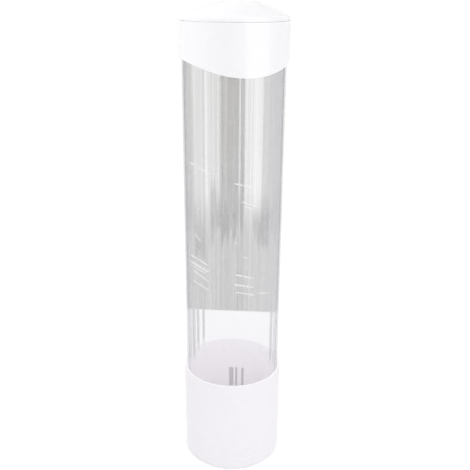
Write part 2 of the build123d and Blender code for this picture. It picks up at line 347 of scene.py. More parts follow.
class RoundTheTube(Effect):
    """Coordinates unrolled round the tube's axis."""

    title = "round_the_tube"
    takes = {"Place": SocketKind.VECTOR}
    gives = {"Azimuth": SocketKind.VALUE, "Height": SocketKind.VALUE, "Unrolled": SocketKind.VECTOR}

    def draw(self, graph: Graph, given: Given) -> Values:
        """Measure the azimuth in degrees and the height in metres.

        Args:
            graph: The group's own tree.
            given: Gives the input of a name.

        Returns:
            The result for each output's name.
        """
        x, y, z = graph.parts(given("Place"))
        angle = graph.maths("ARCTAN2", x, graph.minus(AXIS_Y, y))
        unrolled = graph.add("ShaderNodeCombineXYZ", graph.times(angle, UNROLLED_RADIUS), z)
        azimuth = graph.times(angle, math.degrees(1))
        return {"Azimuth": azimuth, "Height": z, "Unrolled": unrolled.outputs[0]}


class MouldedGrain(Effect):
    """The very fine orange peel of a satin moulded surface."""

    title = "moulded_grain"
    takes = {
        "Place": SocketKind.VECTOR,
        "Grains in a metre": 2200.0,
        "Waves in a metre": 160.0,
        "Wave share": 0.35,
    }
    gives = {"Height": SocketKind.VALUE, "Tone": SocketKind.VALUE}

    def draw(self, graph: Graph, given: Given) -> Values:
        """Lay fine grain over the slow waves of moulded plastic.

        Args:
            graph: The group's own tree.
            given: Gives the input of a name.

        Returns:
            The result for each output's name.
        """
        grain = graph.noise(given("Place"), given("Grains in a metre"), 3.0, 0.6)
        waves = graph.noise(given("Place"), given("Waves in a metre"))
        return {"Height": graph.blend(given("Wave share"), grain, waves), "Tone": waves}


class HandlingMarks(Effect):
    """Smudges from handling and fine hairline scratches that run in two directions."""

    title = "handling_marks"
    takes = {
        "Place": SocketKind.VECTOR,
        "Scratches in a metre": 420.0,
        "Scratch amount": 0.5,
        "Smudge amount": 0.5,
    }
    gives = {"Scratches": SocketKind.VALUE, "Smudges": SocketKind.VALUE}

    def draw(self, graph: Graph, given: Given) -> Values:
        """Stretch noise into thin lines, broken where a second noise is low.

        Args:
            graph: The group's own tree.
            given: Gives the input of a name.

        Returns:
            The result for each output's name.
        """
        lines = []
        for turn, squeeze in ((0.5, 0.05), (-1.1, 0.03)):
            turned = graph.add("ShaderNodeVectorRotate", rotation_type="EULER_XYZ")
            graph.fill(turned, {"Vector": given("Place"), "Rotation": (turn, turn * 0.4, turn * 0.7)})
            drawn = graph.stretched(turned.outputs[0], (1.0, 1.0, squeeze))
            ridges = graph.noise(drawn, given("Scratches in a metre"), 1.0)
            lines.append(graph.fall(graph.gap(ridges, 0.5), 0.0, 0.012))
        broken = graph.remap(graph.noise(given("Place"), 55.0, 3.0, 0.6), 0.52, 0.72)
        hands = graph.remap(graph.noise(given("Place"), 24.0, 4.0, 0.55), 0.42, 0.68)
        return {
            "Scratches": graph.times(graph.most(*lines), broken, given("Scratch amount")),
            "Smudges": graph.times(hands, given("Smudge amount")),
        }


class SettledDust(Effect):
    """Fine patchy dust on faces that look up, and single specks all over."""

    title = "settled_dust"
    takes = {
        "Place": SocketKind.VECTOR,
        "Facing up": 0.0,
        "Amount": 0.3,
        "Speck size": 0.09,
        "Speck share": 0.06,
    }
    gives = {"Dust": SocketKind.VALUE, "Specks": SocketKind.VALUE}

    def draw(self, graph: Graph, given: Given) -> Values:
        """Break the dust into patches and put a speck in some of many cells.

        Args:
            graph: The group's own tree.
            given: Gives the input of a name.

        Returns:
            The result for each output's name.
        """
        up = graph.remap(given("Facing up"), 0.25, 0.95)
        patches = graph.remap(graph.noise(given("Place"), 140.0, 4.0, 0.65), 0.4, 0.65)
        spots = graph.cells(given("Place"), 330.0)
        core = graph.times(given("Speck size"), 0.35)
        speck = graph.fall(spots["Distance"], core, given("Speck size"))
        rest = graph.minus(1.0, graph.parts(spots["Color"])[0])
        rare = graph.maths("LESS_THAN", rest, given("Speck share"))
        return {"Dust": graph.times(up, patches, given("Amount")), "Specks": graph.times(speck, rare)}


class UprightBand(Effect):
    """One upright band of the tube, between two azimuths, with soft sides."""

    title = "upright_band"
    takes = {"Azimuth": SocketKind.VALUE, "Middle": 0.0, "Half width": 5.0, "Softness": 1.0}
    gives = {"Band": SocketKind.VALUE}

    def draw(self, graph: Graph, given: Given) -> Values:
        """Fade from 1 inside the band to 0 past its soft sides."""
        past = graph.minus(graph.gap(given("Azimuth"), given("Middle")), given("Half width"))
        return {"Band": graph.fall(past, 0.0, given("Softness"))}


class PaintedRibLines(Effect):
    """Painted thin light and dark lines, a pair at each rib inside the tube, that stand in for the light
    the ribs bend; each rib a little different.
    """

    title = "painted_rib_lines"
    takes = {"Azimuth": SocketKind.VALUE}
    gives = {"Dark lines": SocketKind.VALUE, "Light lines": SocketKind.VALUE}

    def draw(self, graph: Graph, given: Given) -> Values:
        """Count round the tube in ribs, and vary each rib by a number of its own.

        The painted dark line is a tenth of a pitch to the left of each rib's middle, the painted light one
        to its right.

        Args:
            graph: The group's own tree.
            given: Gives the input of a name.

        Returns:
            The result for each output's name.
        """
        counted = graph.maths("DIVIDE", given("Azimuth"), 360 / RIB_COUNT)
        nearest = graph.maths("ROUND", counted)
        off = graph.minus(counted, nearest)
        own = graph.fill(graph.add("ShaderNodeTexWhiteNoise", noise_dimensions="1D"), {"W": nearest})
        strength = own.outputs["Value"]
        dark = graph.fall(graph.maths("ABSOLUTE", graph.plus(off, 0.10)), 0.03, 0.17)
        light = graph.fall(graph.gap(off, 0.12), 0.02, 0.12)
        return {
            "Dark lines": graph.times(dark, strength),
            "Light lines": graph.times(light, graph.minus(1.0, strength)),
        }


class ScuffArc(Effect):
    """One curved scuff on the tube, broken into finer strokes."""

    title = "scuff_arc"
    takes = {
        "Azimuth": SocketKind.VALUE,
        "Height": SocketKind.VALUE,
        "Middle azimuth": 0.0,
        "Middle height": 0.0,
        "Half length": 15.0,
        "Slope": 0.0,
        "Bow": 0.0,
        "Thickness": 0.0004,
    }
    gives = {"Scuff": SocketKind.VALUE}

    def draw(self, graph: Graph, given: Given) -> Values:
        """Follow a bowed line, whose slope and bow are in millimetres per degree and per square degree.

        Args:
            graph: The group's own tree.
            given: Gives the input of a name.

        Returns:
            The result for each output's name.
        """
        along = graph.minus(given("Azimuth"), given("Middle azimuth"))
        climb = graph.times(along, given("Slope"))
        bowed = graph.times(along, along, given("Bow"))
        line = graph.plus(given("Middle height"), graph.times(graph.plus(climb, bowed), 0.001))
        thin = graph.fall(graph.gap(given("Height"), line), 0.0, given("Thickness"))
        past = graph.minus(graph.maths("ABSOLUTE", along), given("Half length"))
        ends = graph.fall(past, -6.0, 0.0)
        seed = graph.add("ShaderNodeCombineXYZ", given("Azimuth"), graph.times(given("Height"), 300.0))
        strokes = graph.remap(graph.noise(seed.outputs[0], 0.55, 3.0, 0.7), 0.32, 0.6, 0.15, 1.0)
        return {"Scuff": graph.times(thin, ends, strokes)}


class DrawnMetal(Effect):
    """The fine lines and small dull patches of drawn or plated steel."""

    title = "drawn_metal"
    takes = {"Place": SocketKind.VECTOR, "Lines in a metre": 4000.0, "Dullness": 0.4}
    gives = {"Height": SocketKind.VALUE, "Dull": SocketKind.VALUE}

    def draw(self, graph: Graph, given: Given) -> Values:
        """Draw lines along Z and patches over them.

        Args:
            graph: The group's own tree.
            given: Gives the input of a name.

        Returns:
            The result for each output's name.
        """
        drawn = graph.stretched(given("Place"), (1.0, 1.0, 0.08))
        lines = graph.noise(drawn, given("Lines in a metre"), 2.0, 0.6)
        patches = graph.remap(graph.noise(given("Place"), 900.0, 4.0, 0.6), 0.45, 0.7)
        return {"Height": lines, "Dull": graph.times(patches, given("Dullness"))}


def blank_material(name: str) -> tuple[bpy.types.Material, Graph, bpy.types.Node]:
    """Make a material with one Principled shader.

    Args:
        name: The material's name.

    Returns:
        The material, its graph and its shader.
    """
    material = bpy.data.materials.new(name)
    material.use_nodes = True
    graph = Graph(material.node_tree)
    graph.tree.nodes.clear()
    shader = graph.add("ShaderNodeBsdfPrincipled")
    graph.add("ShaderNodeOutputMaterial", shader.outputs[0])
    return material, graph, shader


@dataclass(frozen=True)
class Finish:
    """What the surface of a piece is like.

    Attributes:
        name: The material's name.
        colour: Its main colour.
        roughness: Its roughness where it is clean.
    """

    name: str
    colour: Colour
    roughness: float

    def inputs(self, graph: Graph) -> Values:
        """Draw the finish.

        Args:
            graph: The material's graph.

        Returns:
            What the shader's inputs get, by their names.
        """
        raise NotImplementedError

    def material(self) -> bpy.types.Material:
        """Make the material.

        Returns:
            The material.
        """
        material, graph, shader = blank_material(self.name)
        graph.fill(shader, self.inputs(graph))
        return material


@dataclass(frozen=True)
class Wear:
    """How waves, marks and dust show on moulded plastic.

    Attributes:
        wave_tone: How far its slow waves draw the colour towards the worn one.
        smudge_tone: How far smudges draw it there.
        dark_share: How light scratches and specks are, as a share of the worn colour.
        scratch_tone: How strong the dark of scratches is.
        speck_tone: How strong the dark of specks is where the dust is full.
        smudge_rough: What smudges add to the roughness.
        scratch_rough: What scratches add to it.
        dust_rough: What dust adds to it.
    """

    wave_tone: float = 0.35
    smudge_tone: float = 0.4
    dark_share: float = 0.78
    scratch_tone: float = 0.35
    speck_tone: float = 0.5
    smudge_rough: float = 0.10
    scratch_rough: float = 0.20
    dust_rough: float = 0.25


WEAR = Wear()


@dataclass(frozen=True)
class MouldedPlastic(Finish):
    """An opaque moulded plastic, from satin to matt.

    Attributes:
        worn_colour: The colour that smudges and dust draw it towards.
        marks: How many marks of handling it has, from 0 to 1.
        dust: How much dust lies on it, from 0 to 1.
        grain_depth: The depth of its grain.
        grains: How many grains there are in a metre.
        polish: How strong the smooth gloss over its satin is, from 0 to 1.
        depth: How far light spreads inside it, or 0 where none does.
        hollow_radius: How far from the tube's axis its hollow reaches, or 0 where it has none.
        hollow_edge: How wide the hollow's limit is.
        hollow_painted_light_colour: The lighter colour in its hollow, painted light that stands in for the
            light which bounces and shines through the wall inside it.
    """

    worn_colour: Colour
    marks: float
    dust: float
    grain_depth: float = 0.00003
    grains: float = 2200.0
    polish: float = 0.0
    depth: float = 0.0
    hollow_radius: float = 0.0
    hollow_edge: float = 0.0002
    hollow_painted_light_colour: Colour = (0.9, 0.9, 0.9)

    def toned(self, graph: Graph, place: object, share: object) -> Output:
        """Draw the main colour towards the worn one, and lighten it inside the hollow with painted light.

        Args:
            graph: The material's graph.
            place: The point's own place.
            share: How worn it is, from 0 to 1.

        Returns:
            The colour.
        """
        colour = graph.mix(share, self.colour, self.worn_colour)
        if not self.hollow_radius:
            return colour
        x, y, _ = graph.parts(place)
        off = graph.minus(y, AXIS_Y)
        radius = graph.maths("SQRT", graph.plus(graph.times(x, x), graph.times(off, off)))
        inside = graph.fall(radius, self.hollow_radius - self.hollow_edge, self.hollow_radius)
        # Painted light: the hollow is drawn lighter in place of light that bounces inside the base
        return graph.mix(inside, colour, self.hollow_painted_light_colour)

    def inputs(self, graph: Graph) -> Values:
        """Lay grain, smudges, scratches, dust and specks over the plastic.

        Args:
            graph: The material's graph.

        Returns:
            What the shader's inputs get, by their names.
        """
        place = graph.place()
        grain = MouldedGrain.use(graph, place=place, grains_in_a_metre=self.grains)
        marks = HandlingMarks.use(graph, place=place, scratch_amount=self.marks, smudge_amount=self.marks)
        up = graph.parts(graph.add("ShaderNodeNewGeometry").outputs["Normal"])[2]
        dust = SettledDust.use(graph, place=place, facing_up=up, amount=self.dust)

        slow = graph.remap(grain["Tone"], 0.3, 0.7, 0.0, WEAR.wave_tone)
        dirt = graph.plus(graph.times(marks["Smudges"], WEAR.smudge_tone), dust["Dust"])
        toned = self.toned(graph, place, graph.maths("ADD", slow, dirt, clamp=True))
        dark = tuple(part * WEAR.dark_share for part in self.worn_colour)
        lines = graph.times(marks["Scratches"], WEAR.scratch_tone)
        spotted = graph.most(lines, graph.times(dust["Specks"], WEAR.speck_tone * self.dust))
        rough = graph.times_plus(marks["Smudges"], WEAR.smudge_rough, self.roughness)
        rough = graph.times_plus(marks["Scratches"], WEAR.scratch_rough, rough)
        skin = graph.relief(grain["Height"], self.grain_depth)
        scored = graph.minus(1.0, marks["Scratches"])
        values = {
            "Base Color": graph.mix(spotted, toned, dark),
            "Roughness": graph.times_plus(dust["Dust"], WEAR.dust_rough, rough),
            "Normal": graph.relief(scored, self.grain_depth, skin),
            "IOR": 1.49,
            "Coat Weight": self.polish,
            "Coat Roughness": 0.10,
        }
        if self.depth:
            values["Subsurface Weight"] = 0.5
            values["Subsurface Scale"] = self.depth
            values["Subsurface Radius"] = (1.0, 1.0, 1.0)
        return values


@dataclass(frozen=True)
class Band:
    """One upright band, patch or line of the clear tube.

    Attributes:
        azimuth: Its middle.
        half_width: Half its width in degrees.
        haze: How strong the painted veil is there on each face of the wall, from 0 to 1.
        softness: How wide its soft sides are, in degrees.
        lowest: The height of its lower end, or 0 where it has none.
        highest: The height of its upper end, or 0 where it has none.
        fade: How far its lower end fades, up and down.
        top_fade: How far its upper end fades, up and down.
    """

    azimuth: float
    half_width: float
    haze: float
    softness: float = 1.5
    lowest: float = 0.0
    highest: float = 0.0
    fade: float = 0.005
    top_fade: float = 0.012

    def share(self, graph: Graph, azimuth: object, height: object) -> Output:
        """Find where the band is.

        Args:
            graph: The material's graph.
            azimuth: Degrees round the tube.
            height: The height.

        Returns:
            1 in the band and 0 beside it.
        """
        sizes = {"middle": self.azimuth, "half_width": self.half_width, "softness": self.softness}
        share = UprightBand.use(graph, azimuth=azimuth, **sizes)["Band"]
        if self.lowest:
            above = graph.remap(height, self.lowest - self.fade, self.lowest + self.fade)
            share = graph.times(share, above)
        if self.highest:
            below = graph.fall(height, self.highest - self.top_fade, self.highest + self.top_fade)
            share = graph.times(share, below)
        return share


@dataclass(frozen=True)
class Scuff:
    """One curved scuff on the clear tube.

    Attributes:
        middle_azimuth: Its middle's azimuth.
        middle_height: Its middle's height.
        half_length: Half its length in degrees.
        slope: How it climbs to the right, in millimetres per degree.
        bow: How it bends, in millimetres per square degree.
        thickness: Half its thickness.
    """

    middle_azimuth: float
    middle_height: float
    half_length: float
    slope: float
    bow: float
    thickness: float = 0.00045

    def share(self, graph: Graph, azimuth: object, height: object) -> Output:
        """Find where the scuff is, from 0 to 1."""
        return ScuffArc.use(graph, azimuth=azimuth, height=height, **vars(self))["Scuff"]


@dataclass(frozen=True)
class PaintedVeilLevels:
    """How strong the tube's painted veil is on each face of its wall, from 0 to 1, and where the levels
    meet. The veil paints the grey background and the room's reflections that show through and on the clear
    tube.

    Attributes:
        rear: The haze round the rear half.
        lower: The haze of the front half below its broad bands.
        clear: The haze of the clearer part near the foot.
        broad: How much broad streaks change the haze, in the front half and in the rear half.
        fine: How much fine streaks change it, as a share of the haze itself.
        painted_rib_lines: What each rib's painted dark line adds and what its painted light line adds,
            which is less than 0.
        edge: What is added where the wall is seen edge-on.
        marks: What scuffs, scratches and specks add.
        belt: What the patchy belt adds, where the bands give way.
        belt_height: The height of the belt's middle.
        belt_ends: How far from its middle the belt begins to fade, and where it ends.
        fingers: How uneven the streaks make the ends of bands and patches, in height.
        band_heights: The height at which the bands begin to show, and from which they show in full.
        rear_azimuths: The azimuths between which the front half passes into the rear half.
        painted_edge_height: How high the clearer part reaches on the axis, below the painted edge of the
            pale ground seen through the tube.
        painted_edge_slopes: How that slanted painted edge climbs to the right and to the rear, in metres
            per metre.
        painted_edge_softness: How wide that painted edge is.
    """

    rear: float
    lower: float
    clear: float
    broad: tuple[float, float]
    fine: float
    painted_rib_lines: tuple[float, float]
    edge: float
    marks: float
    belt: float
    belt_height: float
    belt_ends: tuple[float, float]
    fingers: float
    band_heights: tuple[float, float]
    rear_azimuths: tuple[float, float]
    painted_edge_height: float
    painted_edge_slopes: tuple[float, float]
    painted_edge_softness: float


@dataclass(frozen=True)
class ClearPlastic(Finish):
    """The clear extruded plastic of the tube, ribbed and scuffed by cups, with a painted veil of upright
    streaks.

    Its veil is painted thinly on every face of the wall, so that what stands behind shows through. Its
    grey, its bands, patches and lines and its clearer part near the foot paint the background and the
    room's reflections seen through and on the tube, and its least hazy bands paint a bright reflection.

    Attributes:
        warm_colour: The colour of its haze in the warmer bands near the top.
        warm_heights: The height at which those bands begin to turn warmer, and from which they are.
        cool_colour: The colour of its haze towards its sides, a little bluer.
        cool_azimuths: The azimuths between which it turns cooler.
        clear_colour: The colour of the thin haze of the clearer part near the foot.
        mark_colour: The colour of its scuffs, scratches and specks.
        mark_rough: What these add to the roughness.
        mark_depth: How deep they are.
        wave_depth: The depth of the slow waves of its wall.
        levels: How strong its haze is.
        streaks: The broad upright bands of its painted veil, bright where they paint a reflection.
        patches: The darker patches of its painted veil, below and between the bands.
        lines: The dark upright lines of its clearer part, all of one haze, painted shade where the ribs
            near the tube's sides bend the light.
        scuffs: Its curved scuffs.
    """

    warm_colour: Colour
    warm_heights: tuple[float, float]
    cool_colour: Colour
    cool_azimuths: tuple[float, float]
    clear_colour: Colour
    mark_colour: Colour
    mark_rough: float
    mark_depth: float
    wave_depth: float
    levels: PaintedVeilLevels
    streaks: tuple[Band, ...]
    patches: tuple[Band, ...]
    lines: tuple[Band, ...]
    scuffs: tuple[Scuff, ...]

    def laid(self, graph: Graph, bands: Sequence[Band], over: object, place: Sequence[object]) -> Output:
        """Lay bands over a haze, one after the other.

        Args:
            graph: The material's graph.
            bands: The bands.
            over: The haze between them.
            place: The azimuth and the height.

        Returns:
            The haze with its bands.
        """
        for band in bands:
            over = graph.blend(band.share(graph, *place), over, band.haze)
        return over

    def above_painted_edge(self, graph: Graph, place: object) -> Output:
        """Tell the part of the tube under its painted veil from the clearer one near its foot, along a
        painted edge of the pale ground seen through it.

        Args:
            graph: The material's graph.
            place: The point's own place.

        Returns:
            1 in the hazy part and 0 in the clearer one.
        """
        x, y, z = graph.parts(place)
        right_slope, rear_slope = self.levels.painted_edge_slopes
        limit = graph.times_plus(x, right_slope, self.levels.painted_edge_height)
        limit = graph.times_plus(y, rear_slope, limit)
        return graph.remap(graph.minus(z, limit), 0.0, self.levels.painted_edge_softness)

    def haze(self, graph: Graph, unrolled: bpy.types.NodeOutputs) -> Output:
        """Work out the painted veil of each face of the wall above the clearer part.

        Args:
            graph: The material's graph.
            unrolled: The coordinates unrolled round the tube.

        Returns:
            The haze, from 0 to 1.
        """
        levels = self.levels
        azimuth, height = unrolled["Azimuth"], unrolled["Height"]
        upright = graph.stretched(unrolled["Unrolled"], (1.0, 0.02, 1.0))
        broad = graph.minus(graph.noise(upright, 95.0), 0.5)
        fine = graph.minus(graph.noise(upright, 640.0, 3.0, 0.65), 0.5)
        fingers = graph.noise(graph.stretched(unrolled["Unrolled"], (1.0, 0.05, 1.0)), 330.0, 3.0, 0.6)
        uneven = graph.plus(height, graph.times_plus(fingers, levels.fingers, -levels.fingers / 2))

        plain = graph.times_plus(broad, levels.broad[0], levels.lower)
        shown = graph.remap(uneven, *levels.band_heights)
        front = graph.blend(shown, plain, self.laid(graph, self.streaks, plain, (azimuth, height)))
        front = self.laid(graph, self.patches, front, (azimuth, uneven))
        patchy = graph.times(graph.remap(fingers, 0.42, 0.62), levels.belt)
        belt = graph.fall(graph.gap(height, levels.belt_height), *levels.belt_ends)
        front = graph.plus(front, graph.times(belt, patchy))
        rear = graph.times_plus(broad, levels.broad[1], levels.rear)
        behind = graph.remap(graph.maths("ABSOLUTE", azimuth), *levels.rear_azimuths)
        level = graph.blend(behind, front, rear)

        level = graph.times_plus(fine, graph.times(level, levels.fine), level)
        ribs = PaintedRibLines.use(graph, azimuth=azimuth)
        for name, added in zip(("Dark lines", "Light lines"), levels.painted_rib_lines):
            level = graph.times_plus(ribs[name], added, level)
        return level

    def tint(self, graph: Graph, unrolled: bpy.types.NodeOutputs, grey: object, white: object) -> Output:
        """Mix the colours of the haze and of the marks in it.

        Args:
            graph: The material's graph.
            unrolled: The coordinates unrolled round the tube.
            grey: Where the haze is grey and not the thin one near the foot.
            white: Where scuffs, scratches and specks are.

        Returns:
            The colour.
        """
        azimuth = unrolled["Azimuth"]
        warmer = UprightBand.use(graph, azimuth=azimuth, middle=-22.0, half_width=20.0, softness=30.0)
        warm = graph.times(warmer["Band"], graph.remap(unrolled["Height"], *self.warm_heights))
        cool = graph.remap(graph.maths("ABSOLUTE", azimuth), *self.cool_azimuths)
        veil = graph.mix(cool, self.colour, self.cool_colour)
        veil = graph.mix(warm, veil, self.warm_colour)
        veil = graph.mix(grey, self.clear_colour, veil)
        return graph.mix(graph.remap(white, 0.0, 0.6), veil, self.mark_colour)

    def cover(self, graph: Graph, haze: object, white: object) -> Output:
        """Work out how opaque the wall is, which is clear to rays that only light.

        Args:
            graph: The material's graph.
            haze: How strong the painted veil is on each face.
            white: Where scuffs, scratches and specks are.

        Returns:
            The alpha.
        """
        facing = graph.add("ShaderNodeLayerWeight", 0.5).outputs["Facing"]
        cover = graph.times_plus(graph.maths("POWER", facing, 5.0), self.levels.edge, haze)
        cover = graph.maths("MULTIPLY_ADD", white, self.levels.marks, cover, clamp=True)
        path = graph.add("ShaderNodeLightPath").outputs
        lighting = graph.most(path["Is Shadow Ray"], path["Is Diffuse Ray"])
        return graph.times(cover, graph.minus(1.0, lighting))

    def inputs(self, graph: Graph) -> Values:
        """Lay the painted veil with its lines, and scuffs, scratches and specks, on the clear wall.

        Args:
            graph: The material's graph.

        Returns:
            What the shader's inputs get, by their names.
        """
        place = graph.place()
        unrolled = RoundTheTube.use(graph, place=place)
        where = (unrolled["Azimuth"], unrolled["Height"])
        scratches = HandlingMarks.use(graph, place=place, scratch_amount=0.35)["Scratches"]
        specks = SettledDust.use(graph, place=place, speck_size=0.20, speck_share=0.03)["Specks"]
        scuffs = [scuff.share(graph, *where) for scuff in self.scuffs]
        white = graph.most(*scuffs, scratches, specks)
        above = self.above_painted_edge(graph, place)
        lines = graph.most(*(line.share(graph, *where) for line in self.lines))
        lines = graph.times(lines, graph.minus(1.0, above))
        low = graph.blend(lines, self.levels.clear, self.lines[0].haze)
        haze = graph.blend(above, low, self.haze(graph, unrolled))
        grey = graph.maths("ADD", above, lines, clamp=True)
        waves = graph.noise(graph.stretched(unrolled["Unrolled"], (1.0, 0.02, 1.0)), 260.0)
        body = graph.relief(waves, self.wave_depth)
        return {
            "Base Color": self.tint(graph, unrolled, grey, white),
            "Alpha": self.cover(graph, haze, white),
            "Roughness": graph.times_plus(white, self.mark_rough, self.roughness),
            "Normal": graph.relief(graph.minus(1.0, white), self.mark_depth, body),
        }


@dataclass(frozen=True)
class Steel(Finish):
    """A small steel part, plated or drawn.

    Attributes:
        dull_colour: Its colour where it has dulled.
        lines: How many drawn lines there are in a metre.
        dullness: How much of it has dulled, from 0 to 1.
        dull_rough: What dulling adds to the roughness.
        line_depth: How deep the drawn lines are.
    """

    dull_colour: Colour
    lines: float
    dullness: float
    dull_rough: float = 0.35
    line_depth: float = 0.000004

    def inputs(self, graph: Graph) -> Values:
        """Lay drawn lines and dull patches on the metal.

        Args:
            graph: The material's graph.

        Returns:
            What the shader's inputs get, by their names.
        """
        drawn = DrawnMetal.use(
            graph, place=graph.place(), lines_in_a_metre=self.lines, dullness=self.dullness
        )
        return {
            "Base Color": graph.mix(drawn["Dull"], self.colour, self.dull_colour),
            "Roughness": graph.times_plus(drawn["Dull"], self.dull_rough, self.roughness),
            "Normal": graph.relief(drawn["Height"], self.line_depth),
            "Metallic": 1.0,
        }


@dataclass(frozen=True)
class Ferrite(Finish):
    """The sintered brown-grey ferrite of the magnet, with its pores.

    Attributes:
        dark_colour: The colour of its pores and darker patches.
        pores: How many pores there may be in a metre.
        pore_rough: What a pore adds to the roughness.
        pore_depth: How deep a pore is.
        patches: How many patches there are in a metre.
        patch_tone: How far the patches darken it, from 0 to 1.
    """

    dark_colour: Colour
    pores: float = 1500.0
    pore_rough: float = 0.2
    pore_depth: float = 0.00008
    patches: float = 260.0
    patch_tone: float = 0.6

    def inputs(self, graph: Graph) -> Values:
        """Sink pores into the ferrite and darken it in patches.

        Args:
            graph: The material's graph.

        Returns:
            What the shader's inputs get, by their names.
        """
        place = graph.place()
        pore = graph.fall(graph.cells(place, self.pores)["Distance"], 0.12, 0.35)
        patches = graph.remap(graph.noise(place, self.patches, 5.0, 0.6), 0.35, 0.7)
        share = graph.most(pore, graph.times(patches, self.patch_tone))
        return {
            "Base Color": graph.mix(share, self.colour, self.dark_colour),
            "Roughness": graph.times_plus(pore, self.pore_rough, self.roughness),
            "Normal": graph.relief(graph.minus(1.0, pore), self.pore_depth),
        }


class Finishes:
    """Makes each finish's material once and puts it on pieces."""

    def __init__(self) -> None:
        """Start with no material made."""
        self.made: dict[str, bpy.types.Material] = {}

    def put(self, piece: bpy.types.Object, finish: Finish) -> None:
        """Give a piece one finish all over.

        Args:
            piece: A CAD node or a new mesh.
            finish: Its finish.
        """
        if finish.name not in self.made:
            self.made[finish.name] = finish.material()
        slots = piece.data.materials
        if not slots:
            slots.append(self.made[finish.name])
        for index in range(len(slots)):
            slots[index] = self.made[finish.name]


CAP_PLASTIC = MouldedPlastic(
    name="cap_satin_white",
    colour=(0.976, 0.948, 0.990),
    worn_colour=(0.930, 0.908, 0.932),
    roughness=0.34,
    marks=0.35,
    dust=0.12,
    polish=0.8,
    depth=0.0007,
)
BASE_PLASTIC = MouldedPlastic(
    name="base_satin_white",
    colour=(0.926, 0.909, 0.945),
    worn_colour=(0.892, 0.874, 0.902),
    roughness=0.38,
    marks=0.5,
    dust=0.3,
    hollow_radius=0.0415,
    # Painted light: the hollow inside the base is drawn lighter
    hollow_painted_light_colour=(0.992, 0.970, 0.990),
)
INNER_PLASTIC = MouldedPlastic(
    name="inner_plain_white",
    colour=(0.90, 0.885, 0.905),
    worn_colour=(0.85, 0.835, 0.845),
    roughness=0.48,
    grain_depth=0.00004,
    marks=0.6,
    dust=0.4,
)
PAWL_PLASTIC = MouldedPlastic(
    name="pawl_slippery_grey",
    colour=(0.50, 0.50, 0.51),
    worn_colour=(0.42, 0.42, 0.43),
    roughness=0.30,
    grain_depth=0.00002,
    grains=5000.0,
    marks=0.8,
    dust=0.2,
)
